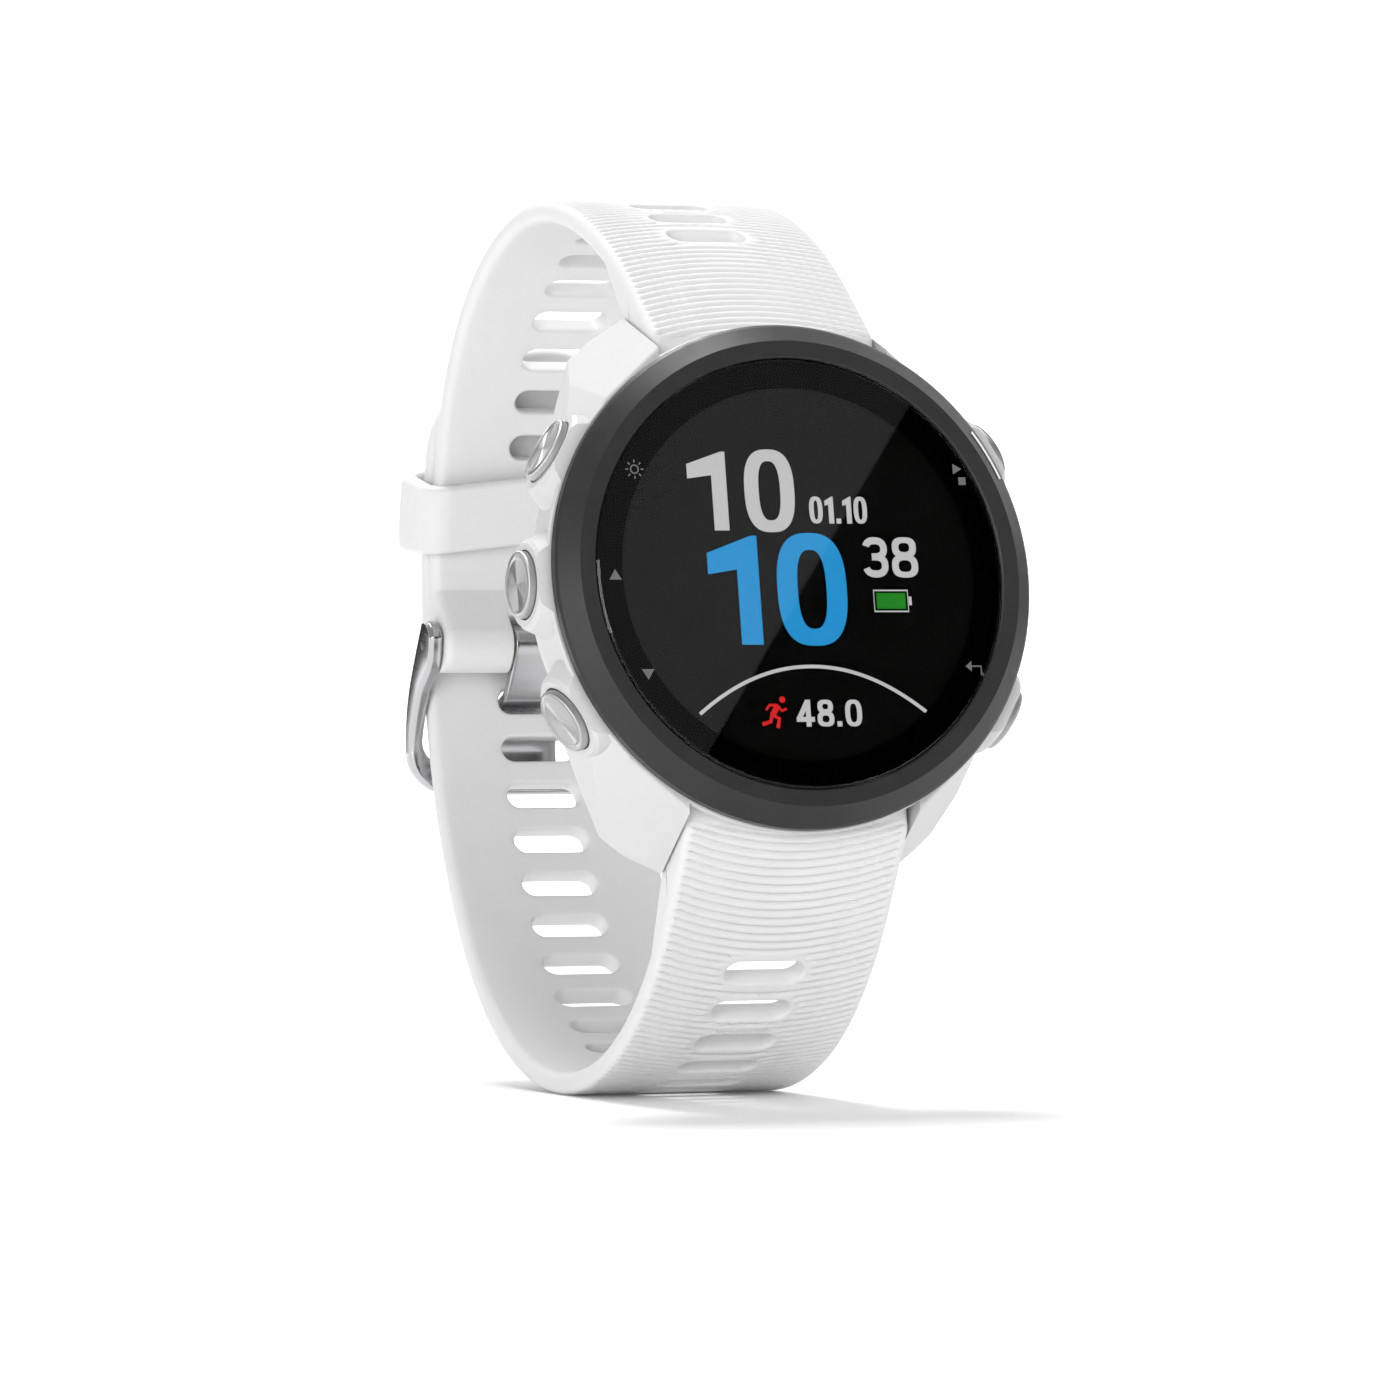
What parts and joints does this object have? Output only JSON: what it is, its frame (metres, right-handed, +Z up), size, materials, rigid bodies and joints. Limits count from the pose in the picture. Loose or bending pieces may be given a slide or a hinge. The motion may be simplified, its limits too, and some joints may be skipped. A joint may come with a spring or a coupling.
{
  "type": "gps running watch",
  "caption": "Round GPS running watch with side buttons and a ribbed silicone strap, buckled into a loop and standing on it.",
  "frame": {"origin": "middle of the line on which the buckled strap loop touches the table", "axes": "+Z up; -Y towards the viewer of the dial, which leans back 10.5 degrees; +X towards 3 o'clock on the dial"},
  "size_m": [0.0443, 0.0706, 0.0764],
  "materials": {
    "case_white": "fine matte grain",
    "bezel_grey": "fine grained satin",
    "cover_glass": "polished, anti-glare",
    "adhesive": "tacky black foam tape",
    "display_black": "transflective panel",
    "light_guide": "moulded clear diffuser",
    "polyimide": "amber film",
    "chassis_black": "moulded",
    "antenna_metal": "stamped",
    "board_green": "solder mask",
    "can_metal": "tinned",
    "chip_black": "moulded epoxy",
    "foam_grey": "soft foam",
    "battery_foil": "foil pouch",
    "motor_steel": "drawn can",
    "tungsten": "sintered",
    "buzzer_brass": "disc with ceramic",
    "back_black": "fine grain",
    "seal_rubber": "moulded",
    "screw_steel": "machined",
    "sensor_glass": "dark polished window",
    "diode": "clear epoxy",
    "gold_contact": "gold plated",
    "steel_polished": "radially brushed, polished bevel",
    "buckle_steel": "satin with polished edges",
    "spring_steel": "drawn wire",
    "strap_white": "matte silicone, ribbed outside"
  },
  "bodies": {
    "watch": {"main_case": "case_white", "bezel": "bezel_grey", "lens": "cover_glass", "lens_adhesive": "adhesive", "display_panel": "display_black", "backlight": "light_guide", "display_flex": "polyimide", "chassis": "chassis_black", "gps_antenna": "antenna_metal", "main_board": "board_green", "shield_cans": "can_metal", "board_chips": "chip_black", "battery_pad": "foam_grey", "battery": "battery_foil", "motor_can": "motor_steel", "buzzer": "buzzer_brass", "side_flexes": "polyimide", "tactile_switches": "screw_steel", "back_cover": "back_black", "back_gasket": "seal_rubber", "back_screws": "screw_steel", "sensor_window": "sensor_glass", "sensor_board": "board_green", "sensor_diodes": "diode", "contact_block": "back_black", "charge_contacts": "gold_contact", "lower_strap": "strap_white", "upper_strap": "strap_white", "upper_bar_tube": "spring_steel", "lower_bar_tube": "spring_steel", "upper_bar_spring": "spring_steel", "lower_bar_spring": "spring_steel", "spring_light": "spring_steel", "spring_up": "spring_steel", "spring_down": "spring_steel", "spring_start": "spring_steel", "spring_back": "spring_steel"},
    "button_light": {"button_light": "steel_polished", "seal_light": "seal_rubber", "clip_light": "spring_steel"},
    "button_up": {"button_up": "steel_polished", "seal_up": "seal_rubber", "clip_up": "spring_steel"},
    "button_down": {"button_down": "steel_polished", "seal_down": "seal_rubber", "clip_down": "spring_steel"},
    "button_start": {"button_start": "steel_polished", "seal_start": "seal_rubber", "clip_start": "spring_steel"},
    "button_back": {"button_back": "steel_polished", "seal_back": "seal_rubber", "clip_back": "spring_steel"},
    "upper_release": {"upper_bar_pin": "spring_steel"},
    "lower_release": {"lower_bar_pin": "spring_steel"},
    "rotor": {"motor_rotor": "tungsten"},
    "keeper": {"keeper": "strap_white"},
    "buckle": {"buckle_frame": "buckle_steel", "buckle_bar": "buckle_steel"},
    "tongue": {"tongue": "buckle_steel"}
  },
  "joints": [
    {"name": "light_press", "type": "slide", "parent": "watch", "child": "button_light", "axis": [0.866, -0.0909, -0.4917], "range_m": [0, 0.0005], "stiffness_N_per_m": 800, "springref_m": -0.001, "deforming": ["spring_light"]},
    {"name": "up_press", "type": "slide", "parent": "watch", "child": "button_up", "axis": [1, 0, 0], "range_m": [0, 0.0005], "stiffness_N_per_m": 800, "springref_m": -0.001, "deforming": ["spring_up"]},
    {"name": "down_press", "type": "slide", "parent": "watch", "child": "button_down", "axis": [0.866, 0.0909, 0.4917], "range_m": [0, 0.0005], "stiffness_N_per_m": 800, "springref_m": -0.001, "deforming": ["spring_down"]},
    {"name": "start_press", "type": "slide", "parent": "watch", "child": "button_start", "axis": [-0.866, -0.0909, -0.4917], "range_m": [0, 0.0005], "stiffness_N_per_m": 800, "springref_m": -0.001, "deforming": ["spring_start"]},
    {"name": "back_press", "type": "slide", "parent": "watch", "child": "button_back", "axis": [-0.866, 0.0909, 0.4917], "range_m": [0, 0.0005], "stiffness_N_per_m": 800, "springref_m": -0.001, "deforming": ["spring_back"]},
    {"name": "upper_release_slide", "type": "slide", "parent": "watch", "child": "upper_release", "axis": [1, 0, 0], "range_m": [0, 0.0012], "stiffness_N_per_m": 600, "springref_m": -0.001, "deforming": ["upper_bar_spring"]},
    {"name": "lower_release_slide", "type": "slide", "parent": "watch", "child": "lower_release", "axis": [1, 0, 0], "range_m": [0, 0.0012], "stiffness_N_per_m": 600, "springref_m": -0.001, "deforming": ["lower_bar_spring"]},
    {"name": "motor_spin", "type": "hinge", "parent": "watch", "child": "rotor", "pos_m": [0, -0.02658, 0.03182], "axis": [0, 0.9834, -0.1817], "continuous": true},
    {"name": "keeper_slide", "type": "hinge", "parent": "watch", "child": "keeper", "pos_m": [0, -0.02005, 0.04241], "axis": [1, 0, 0], "range_deg": [-3.5, 5]},
    {"name": "buckle_swing", "type": "hinge", "parent": "watch", "child": "buckle", "pos_m": [0, 0.02876, 0.03827], "axis": [1, 0, 0], "range_deg": [0, 2.5]},
    {"name": "tongue_swing", "type": "hinge", "parent": "buckle", "child": "tongue", "pos_m": [0, 0.02876, 0.03827], "axis": [1, 0, 0], "range_deg": [0, 1.5]}
  ]
}
